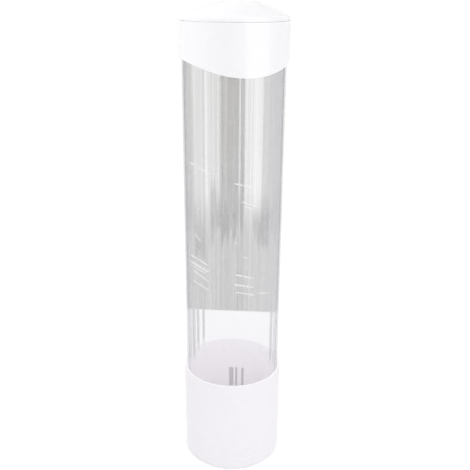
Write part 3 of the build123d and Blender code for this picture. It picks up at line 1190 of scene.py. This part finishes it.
TUBE_PLASTIC = ClearPlastic(
    name="tube_clear_plastic",
    colour=(0.359, 0.355, 0.366),
    warm_colour=(0.367, 0.360, 0.341),
    warm_heights=(0.22, 0.32),
    cool_colour=(0.352, 0.349, 0.378),
    cool_azimuths=(44.0, 64.0),
    clear_colour=(0.885, 0.87, 0.92),
    mark_colour=(0.95, 0.95, 0.95),
    mark_rough=0.35,
    mark_depth=0.00003,
    wave_depth=0.00004,
    roughness=0.22,
    levels=PaintedVeilLevels(
        rear=0.09,
        lower=0.305,
        clear=0.19,
        broad=(0.16, 0.10),
        fine=0.45,
        painted_rib_lines=(0.055, -0.075),
        edge=0.15,
        marks=0.38,
        belt=0.14,
        belt_height=0.232,
        belt_ends=(0.004, 0.028),
        fingers=0.060,
        band_heights=(0.205, 0.265),
        rear_azimuths=(70.0, 116.0),
        # Painted edge of the pale ground seen through the tube, where the painted veil ends
        painted_edge_height=0.1355,
        painted_edge_slopes=(0.0112, -0.4987),
        painted_edge_softness=0.0012,
    ),
    # Azimuth, half width, haze and softness of the painted bands; the least hazy ones paint a bright
    # reflection
    streaks=(
        Band(-70.0, 23.0, 0.295),
        Band(-37.5, 7.8, 0.155),
        Band(-25.7, 1.8, 0.04, 1.0),
        Band(-16.5, 6.2, 0.175),
        Band(1.3, 8.8, 0.475, 0.8),
        Band(-3.0, 1.5, 0.385, 0.8),
        Band(12.0, 0.6, 0.165, 0.5),
        Band(15.6, 1.8, 0.50, 0.6),
        Band(22.5, 4.7, 0.10, 1.2),
        Band(33.0, 5.2, 0.02, 1.2),
        Band(43.0, 3.6, 0.25, 1.2),
        Band(68.0, 20.0, 0.295),
    ),
    # Azimuth, half width, haze, softness, lowest and highest of the painted darker patches
    patches=(
        Band(-37.0, 7.0, 0.44, 3.0, 0.201, 0.222),
        Band(-13.5, 5.0, 0.41, 3.0, 0.228, 0.250),
        Band(-18.0, 1.0, 0.37, 3.0, 0.226, 0.262),
        Band(1.3, 8.8, 0.44, 3.0, 0.223, 0.255),
        Band(33.5, 4.0, 0.35, 3.0, 0.218, 0.238),
        Band(3.0, 13.0, 0.345, 3.0, 0.145, 0.214),
        Band(44.5, 4.5, 0.42, 3.0, 0.214, 0.243),
    ),
    # Painted shade: dark lines where the ribs near the tube's sides bend the light
    lines=tuple(
        Band(azimuth, half_width, haze=0.44, softness=1.3, lowest=lowest, fade=0.008)
        for azimuth, half_width, lowest in (
            (-70.5, 2.6, 0.092),
            (-60.0, 1.4, 0.099),
            (-50.4, 1.7, 0.105),
            (-41.0, 1.0, 0.116),
            (-31.7, 0.5, 0.124),
            (60.5, 0.9, 0.100),
            (69.5, 1.2, 0.094),
            (82.0, 2.8, 0.086),
        )
    ),
    # Azimuth, height, half length, slope, bow and half thickness
    scuffs=(
        Scuff(-37.2, 0.2757, 19.0, -0.189, -0.0042, 0.0008),
        Scuff(16.6, 0.2641, 13.0, -0.196, -0.0014, 0.0008),
        Scuff(25.6, 0.2480, 13.0, -0.281, -0.0011, 0.0008),
        Scuff(24.0, 0.2455, 10.0, -0.270, -0.0011, 0.0004),
        Scuff(-39.3, 0.2172, 8.0, -0.482, -0.0082, 0.0006),
        Scuff(-40.4, 0.1983, 18.5, -0.104, -0.0051, 0.0008),
        Scuff(-39.3, 0.1926, 19.5, -0.099, -0.0051, 0.0010),
        Scuff(-38.0, 0.1895, 15.0, -0.120, -0.0051, 0.0005),
        Scuff(-36.0, 0.1846, 15.0, -0.212, -0.0058, 0.0008),
        Scuff(-36.8, 0.1762, 16.0, -0.135, -0.0053, 0.0007),
        Scuff(19.9, 0.2040, 6.0, -0.216, -0.0021, 0.0006),
        Scuff(19.4, 0.1875, 14.0, -0.212, -0.0023, 0.0007),
        Scuff(18.7, 0.1792, 15.0, -0.182, -0.0025, 0.0009),
        Scuff(19.6, 0.1724, 14.0, -0.183, -0.0026, 0.0008),
        Scuff(45.7, 0.1691, 12.0, -0.188, -0.0024, 0.0005),
        Scuff(150.0, 0.222, 20.0, 0.15, 0.006),
        Scuff(-140.0, 0.252, 22.0, -0.12, 0.005),
        Scuff(105.0, 0.205, 16.0, -0.14, 0.008),
    ),
)
ZINC_PLATE = Steel(
    name="zinc_plated_steel",
    colour=(0.74, 0.75, 0.77),
    dull_colour=(0.52, 0.53, 0.54),
    roughness=0.24,
    lines=2500.0,
    dullness=0.5,
)
SPRING_WIRE = Steel(
    name="bright_spring_wire",
    colour=(0.68, 0.69, 0.71),
    dull_colour=(0.45, 0.45, 0.46),
    roughness=0.18,
    lines=6000.0,
    dullness=0.35,
)
MAGNET_FERRITE = Ferrite(
    name="magnet_ferrite",
    colour=(0.30, 0.235, 0.215),
    dark_colour=(0.17, 0.135, 0.125),
    roughness=0.62,
)


def linked(name: str, data: bpy.types.ID) -> bpy.types.Object:
    """Make an object of a mesh, lamp or camera and link it to the scene.

    Args:
        name: Its name.
        data: What it shows.

    Returns:
        The object.
    """
    made = bpy.data.objects.new(name, data)
    bpy.context.scene.collection.objects.link(made)
    return made


def mesh_object(
    name: str, points: Sequence[Sequence[float]], faces: Sequence[Face], crease_degrees: float | None = None
) -> bpy.types.Object:
    """Make an object from points and faces.

    Args:
        name: The piece's name.
        points: Its corners.
        faces: Its faces, as indices of corners.
        crease_degrees: The angle past which an edge stays sharp, or None where all of it is flat.

    Returns:
        The object, linked to the scene.
    """
    mesh = bpy.data.meshes.new(name)
    mesh.from_pydata([tuple(point) for point in points], [], faces)
    mesh.validate()
    if crease_degrees is not None:
        mesh.polygons.foreach_set("use_smooth", [True] * len(mesh.polygons))
        mesh.set_sharp_from_angle(angle=math.radians(crease_degrees))
    return linked(name, mesh)


def round_point(radius: float, angle: float, height: float) -> Vector:
    """Find a point round +Z from its radius, its angle in radians and its height."""
    return Vector((radius * math.cos(angle), radius * math.sin(angle), height))


def ring_faces(rings: int, count: int, first: int = 0, closed: bool = False) -> list[Face]:
    """Join rings of corners that follow each other.

    Args:
        rings: How many rings there are.
        count: How many corners each ring has.
        first: The index of the first corner.
        closed: Whether the last ring joins the first, instead of both ends being capped.

    Returns:
        The faces.
    """
    faces: list[Face] = []
    for ring in range(rings if closed else rings - 1):
        low = first + ring * count
        high = first + ((ring + 1) % rings) * count
        for index in range(count):
            after = (index + 1) % count
            faces.append((low + index, low + after, high + after, high + index))
    if not closed:
        faces.append(tuple(reversed(range(first, first + count))))
        faces.append(tuple(range(first + (rings - 1) * count, first + rings * count)))
    return faces


def swept_wire(path: Sequence[Vector], radius: float, sides: int) -> tuple[list[Vector], list[Face]]:
    """Lay a round wire along a path.

    Args:
        path: Points along the wire's middle.
        radius: The wire's radius.
        sides: How many sides it has.

    Returns:
        The wire's corners and its faces, capped at both ends.
    """
    corners: list[Vector] = []
    across = None
    for index, point in enumerate(path):
        ahead = path[min(index + 1, len(path) - 1)] - path[max(index - 1, 0)]
        ahead.normalize()
        if across is None:
            across = ahead.orthogonal().normalized()
        across = (across - ahead * across.dot(ahead)).normalized()
        other = ahead.cross(across)
        for side in range(sides):
            angle = 2 * math.pi * side / sides
            corners.append(point + (across * math.cos(angle) + other * math.sin(angle)) * radius)
    return corners, ring_faces(len(path), sides)


Dressed = list[tuple[bpy.types.Object, Finish]]


def cad_pieces(nodes: dict[str, Finish]) -> Dressed:
    """Take CAD nodes that stay as they are, each with the finish that it gets."""
    return [(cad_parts[name], finish) for name, finish in nodes.items()]


class SubAssembly:
    """Pieces of the dispenser that belong together."""

    def build(self) -> Dressed:
        """Take the CAD nodes that stay and build the finer meshes.

        Returns:
            Each piece with the finish that it gets.
        """
        raise NotImplementedError

    def dress(self, pieces: Dressed, finishes: Finishes) -> None:
        """Give each piece its finish.

        Args:
            pieces: The pieces, each with its finish.
            finishes: What makes the materials.
        """
        for piece, finish in pieces:
            finishes.put(piece, finish)


@dataclass
class CupTube(SubAssembly):
    """The clear tube, with its fine upright ribs on the inside.

    Attributes:
        radius: Its outer radius.
        wall: Its wall.
        bottom: The height that it stands on.
        length: Its length.
        rib_height: How far each rib stands in.
        rib_width: How wide each rib's foot is.
        rib_slimness: How slim each rib is above its foot, where 1 is the arch of a sine.
        edge_round: The rounding of its cut ends.
        rib_steps: How many steps the mesh takes over one rib.
        flat_steps: How many steps it takes from one rib to the next.
    """

    radius: float = 0.04095
    wall: float = 0.0012
    bottom: float = 0.030
    length: float = 0.3435
    rib_height: float = 0.0005
    rib_width: float = 0.0015
    rib_slimness: float = 1.5
    edge_round: float = 0.00015
    rib_steps: int = 6
    flat_steps: int = 2

    def bore_ring(self) -> list[tuple[float, float]]:
        """Lay out one turn of the ribbed bore.

        Returns:
            Angle and radius of each corner, with rounded ribs that reach as far in as the real ones.
        """
        bore = self.radius - self.wall
        pitch = 2 * math.pi / RIB_COUNT
        half = math.asin(self.rib_width / 2 / bore)
        left = pitch - 2 * half
        corners = []
        for rib in range(RIB_COUNT):
            for step in range(self.rib_steps):
                share = step / self.rib_steps
                rise = math.sin(math.pi * share) ** self.rib_slimness
                corners.append((rib * pitch - half + 2 * half * share, bore - self.rib_height * rise))
            for step in range(self.flat_steps):
                corners.append((rib * pitch + half + left * step / self.flat_steps, bore))
        return corners

    def build(self) -> Dressed:
        """Build the tube's mesh in the place of its CAD node.

        Returns:
            Each piece with the finish that it gets.
        """
        inner = self.bore_ring()
        bottom, top, soft = self.bottom, self.bottom + self.length, self.edge_round
        outside = ((0.0, bottom + soft), (0.0, top - soft), (soft, top))
        inside = ((soft, top), (0.0, top - soft), (0.0, bottom + soft), (soft, bottom))
        rings = [(True, *ring) for ring in outside] + [(False, *ring) for ring in inside]
        rings.append((True, soft, bottom))
        points = []
        for outer, inset, height in rings:
            for index, (angle, bore) in enumerate(inner):
                radius = bore + inset
                if outer:
                    angle = 2 * math.pi * index / len(inner) + inner[0][0]
                    radius = self.radius - inset
                points.append(TO_AXIS @ round_point(radius, angle, height))
        faces = ring_faces(len(rings), len(inner), closed=True)
        tube = mesh_object("clear_ribbed_tube", points, faces, crease_degrees=50.0)
        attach(tube, Body.DISPENSER.value)
        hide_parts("tube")
        return [(tube, TUBE_PLASTIC)]


class Cap(SubAssembly):
    """The cap: the collar that turns on the tube and the lid that lifts off it."""

    def build(self) -> Dressed:
        """Take the collar and the lid."""
        return cad_pieces({"collar": CAP_PLASTIC, "lid": CAP_PLASTIC})


class Base(SubAssembly):
    """The base: the shell with its mounting pad, the outlet ring and the ring that carries the pawls."""

    def build(self) -> Dressed:
        """Take the shell, the outlet ring and the carrier.

        Returns:
            Each piece with the finish that it gets.
        """
        return cad_pieces(
            {"base_shell": BASE_PLASTIC, "outlet_ring": BASE_PLASTIC, "pawl_carrier": INNER_PLASTIC}
        )


class WallMount(SubAssembly):
    """What holds the dispenser to a wall: the magnet and the back plate."""

    def build(self) -> Dressed:
        """Take the magnet and the plate."""
        return cad_pieces({"magnet": MAGNET_FERRITE, "back_plate": INNER_PLASTIC})


@dataclass
class PawlSet(SubAssembly):
    """The four sprung pawls with their pins and springs.

    Attributes:
        pivot_radius: How far the pins are from the tube's axis.
        pivot_height: How high the pins are.
        wire: The spring wire's thickness.
        coil_radius: The radius of the coil's middle line.
        pitch: The distance between two turns.
        turns: How many turns the coil has.
        long_leg: The length of the leg under the nose.
        short_leg: The length of the leg on the carrier's web.
        wire_sides: How many sides the wire has.
        steps_in_a_turn: How many steps one turn of the coil has.
    """

    pivot_radius: float = 0.0384
    pivot_height: float = 0.0235
    wire: float = 0.00025
    coil_radius: float = 0.00095
    pitch: float = 0.0004
    turns: float = 2.875
    long_leg: float = 0.0034
    short_leg: float = 0.0029
    wire_sides: int = 12
    steps_in_a_turn: int = 40

    def spring_path(self) -> list[Vector]:
        """Lay out one spring's middle line at the right-hand place, about the tube's axis.

        Returns:
            The points from the end of the long leg to the end of the short one.
        """
        length = self.turns * self.pitch
        start = Vector((0, length / 2, -self.coil_radius))
        path = [start + Vector((-self.long_leg * share, 0, 0)) for share in (1.0, 0.5)]
        steps = round(self.turns * self.steps_in_a_turn)
        for step in range(steps + 1):
            share = step / steps
            angle = math.radians(share * self.turns * 360 - 90)
            reach = Vector((math.cos(angle), 0, math.sin(angle))) * self.coil_radius
            path.append(reach + Vector((0, length / 2 - share * length, 0)))
        last = math.radians(self.turns * 360 - 90)
        along = Vector((-math.sin(last), 0, math.cos(last)))
        path += [path[-1] + along * self.short_leg * share for share in (0.5, 1.0)]
        pivot = Vector((self.pivot_radius, 0, self.pivot_height))
        return [point + pivot for point in path]

    def build_spring(self, side: Side) -> bpy.types.Object:
        """Build one spring as round wire, whose coil winds between the carrier's leg and the pawl's.

        Args:
            side: Its place.

        Returns:
            The spring, in the place of its CAD node.
        """
        corners, faces = swept_wire(self.spring_path(), self.wire / 2, self.wire_sides)
        corners = [side.place @ corner for corner in corners]
        spring = mesh_object(f"round_spring_{side.word}", corners, faces, crease_degrees=40.0)
        reach = (self.turns * self.pitch - self.wire) / 2
        fixed_end = side.place @ Vector((self.pivot_radius, -reach, self.pivot_height))
        moving_end = side.place @ Vector((self.pivot_radius, reach, self.pivot_height))
        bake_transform(spring)
        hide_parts(f"pawl_spring_{side.word}")
        return spring

    def build(self) -> Dressed:
        """Take the pawls and the pins, and build the springs.

        Returns:
            Each piece with the finish that it gets.
        """
        pawls = cad_pieces({f"pawl_{side.word}": PAWL_PLASTIC for side in Side})
        pins = cad_pieces({f"pawl_pin_{side.word}": ZINC_PLATE for side in Side})
        return pawls + pins + [(self.build_spring(side), SPRING_WIRE) for side in Side]


@dataclass
class ScrewSet(SubAssembly):
    """A set of equal small pan-head screws with threads and cross recesses.

    Attributes:
        name: The piece's name.
        node: The CAD node that it stands for.
        length: Each screw's length under its head.
        places: Each screw's turn and place, with its shank along +Z from the origin.
        shank_radius: The radius over the thread.
        head_radius: The head's radius.
        head_height: The head's height.
        crown_height: How much of the head's height is its rounded top.
        crown_share: How much of the head's radius that top spans.
        edge: The bevel under the head's rim.
        straight_share: How much of the shank is straight, above its tapered end.
        tip_share: The radius of the tip as a share of the core's.
        thread_pitch: The distance between two turns of the thread.
        thread_depth: How far the thread stands out.
        thread_share: How much of the shank's length the thread runs over.
        ridge_share: How wide the thread's ridge is, as a share of its pitch.
        ridge_foot: Where the ridge's foot is, inside the core, as a share of its radius.
        recess_width: How wide the cross is.
        recess_reach: How far it reaches from the middle.
        recess_depth: How deep it is.
        recess_taper: How large its cutter is above the head and at its depth, as shares of both.
        sides: How many sides the screw has.
        turn_steps: How many steps one turn of the thread has.
        crown_steps: How many steps the rounded top has.
    """

    name: str
    node: str
    length: float
    places: tuple[Matrix, ...]
    shank_radius: float = 0.00095
    head_radius: float = 0.0016
    head_height: float = 0.0011
    crown_height: float = 0.000715
    crown_share: float = 0.97
    edge: float = 0.000192
    straight_share: float = 0.82
    tip_share: float = 0.35
    thread_pitch: float = 0.00055
    thread_depth: float = 0.00016
    thread_share: float = 0.80
    ridge_share: float = 0.72
    ridge_foot: float = 0.96
    recess_width: float = 0.0005
    recess_reach: float = 0.0008
    recess_depth: float = 0.0006
    recess_taper: tuple[float, float] = (1.35, 0.55)
    sides: int = 48
    turn_steps: int = 24
    crown_steps: int = 6

    def outline(self) -> list[tuple[float, float]]:
        """Lay out half of the screw's section.

        Returns:
            Radius and height of each corner, from the head's middle to the tip.
        """
        core = self.shank_radius - self.thread_depth
        corners = []
        for step in range(1, self.crown_steps + 1):
            angle = math.pi / 2 * step / self.crown_steps
            fall = self.crown_height * (1 - math.cos(angle))
            reach = self.head_radius * self.crown_share * math.sin(angle)
            corners.append((reach, fall - self.head_height))
        corners.append((self.head_radius, self.crown_height - self.head_height))
        corners += [(self.head_radius, -self.edge), (self.head_radius - self.edge, 0.0)]
        corners += [(core, 0.0), (core, self.length * self.straight_share)]
        return corners + [(core * self.tip_share, self.length)]

    def body(self) -> tuple[list[Vector], list[Face]]:
        """Turn the outline about the screw's axis.

        Returns:
            The corners and faces of the head and the core of the shank.
        """
        outline = self.outline()
        angles = [2 * math.pi * side / self.sides for side in range(self.sides)]
        corners = [round_point(radius, angle, height) for radius, height in outline for angle in angles]
        return corners, ring_faces(len(outline), self.sides)

    def thread(self) -> tuple[list[Vector], list[Face]]:
        """Wind the thread's ridge round the shank.

        Returns:
            The ridge's corners and faces.
        """
        core = self.shank_radius - self.thread_depth
        foot = core * self.ridge_foot
        run = self.length * self.thread_share
        turns = run / self.thread_pitch
        steps = round(turns * self.turn_steps)
        half = self.thread_pitch * self.ridge_share / 2
        corners = []
        for step in range(steps + 1):
            share = step / steps
            angle = 2 * math.pi * turns * share
            height = self.thread_pitch * 0.5 + run * share
            taper = min(1.0, (1 - share) * 10, share * 20 + 0.1)
            crest = core + self.thread_depth * taper
            for radius, off in ((foot, -half), (crest, 0.0), (foot, half)):
                corners.append(round_point(radius, angle, height + off))
        return corners, [tuple(reversed(face)) for face in ring_faces(steps + 1, 3)]

    def cross(self) -> bpy.types.Object:
        """Make the tapered cross that the driver's recess is cut with.

        Returns:
            The cutter, on a screw that stands at the origin.
        """
        top = -self.head_height - self.recess_depth
        low = -self.head_height + self.recess_depth
        points: list[Vector] = []
        faces: list[Face] = []
        for turned in (False, True):
            faces += ring_faces(2, 4, first=len(points))
            for height, share in zip((top, low), self.recess_taper):
                reach = self.recess_reach * share
                half = self.recess_width / 2 * share
                for x, y in ((-reach, -half), (reach, -half), (reach, half), (-reach, half)):
                    points.append(Vector((y, -x, height) if turned else (x, y, height)))
        return mesh_object("recess_cutter", points, faces)

    def cut_screw(self) -> tuple[list[Vector], list[Face]]:
        """Cut the cross into one screw.

        Returns:
            The corners and faces of the head and the core of the shank.
        """
        one = mesh_object("one_screw", *self.body())
        cutter = self.cross()
        cut = one.modifiers.new("recess", "BOOLEAN")
        cut.operation = "DIFFERENCE"
        cut.solver = "EXACT"
        cut.use_self = True
        cut.object = cutter
        bpy.context.view_layer.update()
        shaped = one.evaluated_get(bpy.context.evaluated_depsgraph_get()).to_mesh()
        corners = [vertex.co.copy() for vertex in shaped.vertices]
        faces = [tuple(polygon.vertices) for polygon in shaped.polygons]
        for spent in (one, cutter):
            bpy.data.objects.remove(spent)
        return corners, faces

    def build(self) -> Dressed:
        """Build the set as one piece in the place of its CAD node.

        Returns:
            Each piece with the finish that it gets.
        """
        shapes = (self.cut_screw(), self.thread())
        points: list[Vector] = []
        faces: list[Face] = []
        for place in self.places:
            for corners, joined in shapes:
                first = len(points)
                points += [place @ corner for corner in corners]
                faces += [tuple(first + index for index in face) for face in joined]
        screws = mesh_object(self.name, points, faces, crease_degrees=35.0)
        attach(screws, Body.DISPENSER.value)
        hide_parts(self.node)
        return [(screws, ZINC_PLATE)]


@dataclass
class ScrewPlan:
    """Where the dispenser's screws are.

    Attributes:
        ring_circle: The radius of the circle of the outlet ring's screws.
        ring_seat: The height under the heads of those screws.
        ring_length: Their length.
        plate_back: How far behind the axis the back plate's face is.
        plate_sunk: How far the plate's screws sit under that face.
        plate_spacing: The spacing of the plate's screws, sideways and up.
        plate_middle: The height of the middle of the plate's screws.
        plate_length: Their length.
    """

    ring_circle: float = 0.0390
    ring_seat: float = 0.0030
    ring_length: float = 0.0180
    plate_back: float = 0.0483
    plate_sunk: float = 0.0013
    plate_spacing: float = 0.0310
    plate_middle: float = 0.04596
    plate_length: float = 0.0064

    def ring_set(self) -> ScrewSet:
        """The four screws that come up through the outlet ring.

        Returns:
            The set.
        """
        places = []
        for degrees in (45, 135, 225, 315):
            turn = Matrix.Rotation(math.radians(degrees), 4, "Z")
            places.append(TO_AXIS @ turn @ Matrix.Translation((self.ring_circle, 0, self.ring_seat)))
        return ScrewSet("outlet_screws_threaded", "outlet_ring_screws", self.ring_length, tuple(places))

    def plate_set(self) -> ScrewSet:
        """The four screws that hold the back plate.

        Returns:
            The set.
        """
        places = []
        half = self.plate_spacing / 2
        seat = self.plate_back - self.plate_sunk
        forward = Matrix.Rotation(math.radians(90), 4, "X")
        for side in (-half, half):
            for level in (-half, half):
                place = Matrix.Translation((side, seat, self.plate_middle + level))
                places.append(TO_AXIS @ place @ forward)
        return ScrewSet("plate_screws_threaded", "back_plate_screws", self.plate_length, tuple(places))


@dataclass(frozen=True)
class Lamp:
    """One soft lamp that looks at the dispenser.

    Attributes:
        name: Its name.
        azimuth: How far to the right of the front it is, in degrees.
        elevation: How high it is, in degrees.
        distance: How far it is.
        size: Its width and height.
        power: Its power in watts.
        aim_height: The height on the tube's axis that it looks at.
        spread: How wide its beam opens, in degrees.
        only_gloss: Whether it is seen in gloss only and lights nothing else.
    """

    name: str
    azimuth: float
    elevation: float
    distance: float
    size: tuple[float, float]
    power: float
    aim_height: float = 0.2
    spread: float = 180.0
    only_gloss: bool = False

    def build(self) -> None:
        """Build the lamp."""
        data = bpy.data.lights.new(self.name, "AREA")
        data.shape = "RECTANGLE"
        data.size, data.size_y = self.size
        data.energy = self.power
        data.spread = math.radians(self.spread)
        lamp = linked(self.name, data)
        turn, rise = math.radians(self.azimuth), math.radians(self.elevation)
        back = Vector((math.sin(turn) * math.cos(rise), -math.cos(turn) * math.cos(rise), math.sin(rise)))
        lamp.location = Vector((0, AXIS_Y, self.aim_height)) + back * self.distance
        lamp.rotation_mode = "QUATERNION"
        lamp.rotation_quaternion = back.to_track_quat("Z", "Y")
        lamp.visible_diffuse = not self.only_gloss
        lamp.visible_transmission = not self.only_gloss


# Azimuth, elevation, distance, size and power
LAMPS = (
    Lamp("key_light", 30.0, 30.0, 1.5, (0.35, 0.9), 2.8),
    Lamp("window_light", 54.0, 8.0, 0.9, (0.84, 0.7), 1.8, aim_height=0.36, only_gloss=True),
    Lamp("left_light", -92.0, 22.0, 0.9, (0.3, 0.4), 0.13, aim_height=0.38, spread=40.0),
    Lamp("socket_light", 180.0, 58.0, 0.6, (0.10, 0.10), 0.008, aim_height=0.07, spread=20.0),
)


@dataclass
class Studio:
    """The floor, the light and the camera. None of it is part of the dispenser.

    Attributes:
        floor_reach: Half the floor's width.
        floor_colour: The floor's colour.
        floor_lift: The light that the floor adds for the camera, so that it shows white.
        daylight: The strength of the even light all round.
        clear_layers: How many see-through faces one ray may pass, as the tube has several.
        soft_bounces: How often soft light may bounce, as inside the base.
        camera_azimuth: How far to the right of the front the camera stands, in degrees.
        camera_distance: How far it stands from the tube's axis.
        camera_height: How high it is.
        camera_pitch: How far it looks down, in degrees.
        camera_yaw: How far it looks past the axis, in degrees to the right.
        camera_roll: How far it leans, in degrees.
        lens: Its focal length in millimetres on a 36 millimetre sensor.
    """

    floor_reach: float = 40.0
    floor_colour: Colour = (0.90, 0.90, 0.90)
    floor_lift: float = 0.205
    daylight: float = 0.89
    clear_layers: int = 32
    soft_bounces: int = 8
    camera_azimuth: float = 5.5
    camera_distance: float = 0.5445
    camera_height: float = 0.4081
    camera_pitch: float = 20.09
    camera_yaw: float = 0.172
    camera_roll: float = 0.39
    lens: float = 52.06

    def seen_directly(self, graph: Graph) -> Output:
        """Find rays from the camera, from gloss and through clear pieces, which show a picture."""
        path = graph.add("ShaderNodeLightPath").outputs
        return graph.most(path["Is Camera Ray"], path["Is Glossy Ray"], path["Is Transmission Ray"])

    def build_floor(self) -> None:
        """Build the plain pale floor."""
        reach = self.floor_reach
        corners = [(-reach, -reach, 0), (reach, -reach, 0), (reach, reach, 0), (-reach, reach, 0)]
        floor = mesh_object("plain_floor", corners, [(0, 1, 2, 3)])
        material, graph, shader = blank_material("floor_pale")
        values = {
            "Base Color": (*self.floor_colour, 1.0),
            "Roughness": 0.9,
            "Specular IOR Level": 0.0,
            "Emission Color": (1.0, 1.0, 1.0, 1.0),
            "Emission Strength": graph.times(self.seen_directly(graph), self.floor_lift),
        }
        graph.fill(shader, values)
        floor.data.materials.append(material)

    def build_world(self) -> None:
        """Make the even light, which shows as plain white."""
        world = bpy.data.worlds.new("white_studio")
        world.use_nodes = True
        bpy.context.scene.world = world
        graph = Graph(world.node_tree)
        graph.tree.nodes.clear()
        strength = graph.blend(self.seen_directly(graph), self.daylight, 1.0)
        sky = graph.add("ShaderNodeBackground", (1.0, 1.0, 1.0, 1.0), strength)
        graph.add("ShaderNodeOutputWorld", sky.outputs[0])

    def build_camera(self) -> None:
        """Set the camera at the photograph's place."""
        data = bpy.data.cameras.new("photo_camera")
        data.sensor_width = 36.0
        data.lens = self.lens
        data.clip_start = 0.01
        camera = linked("photo_camera", data)
        turn = math.radians(self.camera_azimuth)
        place = Vector((math.sin(turn), -math.cos(turn), 0)) * self.camera_distance
        place += Vector((0, AXIS_Y, self.camera_height))
        facing = Matrix.Rotation(turn - math.radians(self.camera_yaw), 4, "Z")
        tilt = Matrix.Rotation(math.radians(90 - self.camera_pitch), 4, "X")
        lean = Matrix.Rotation(math.radians(self.camera_roll), 4, "Z")
        camera.matrix_world = Matrix.Translation(place) @ facing @ tilt @ lean
        bpy.context.scene.camera = camera

    def let_light_through(self) -> None:
        """Let rays pass every face of the clear tube, and bounce enough inside the white base."""
        paths = bpy.context.scene.cycles
        paths.transparent_max_bounces = self.clear_layers
        paths.diffuse_bounces = self.soft_bounces

    def build(self) -> None:
        """Build the whole studio."""
        self.build_floor()
        self.build_world()
        for lamp in LAMPS:
            lamp.build()
        self.build_camera()
        self.let_light_through()
        bpy.context.scene.view_settings.view_transform = "Standard"


def main() -> None:
    """Build the pieces in order and dress them, then write how large the result is."""
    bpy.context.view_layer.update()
    finishes = Finishes()
    plan = ScrewPlan()
    assemblies: tuple[SubAssembly, ...] = (
        CupTube(), Cap(), Base(), PawlSet(), WallMount(), plan.ring_set(), plan.plate_set()
    )
    for assembly in assemblies:
        pieces = assembly.build()
        assembly.dress(pieces, finishes)
        for piece, finish in pieces:
            faces = len(piece.data.polygons)
            log.info("%s: %s, %d faces, %s", type(assembly).__name__, piece.name, faces, finish.name)

    Studio().build()
    log.info("studio: floor, light and camera")


if __name__ == "__main__":
    logging.basicConfig(level=logging.INFO, format="%(name)s: %(message)s")
    main()
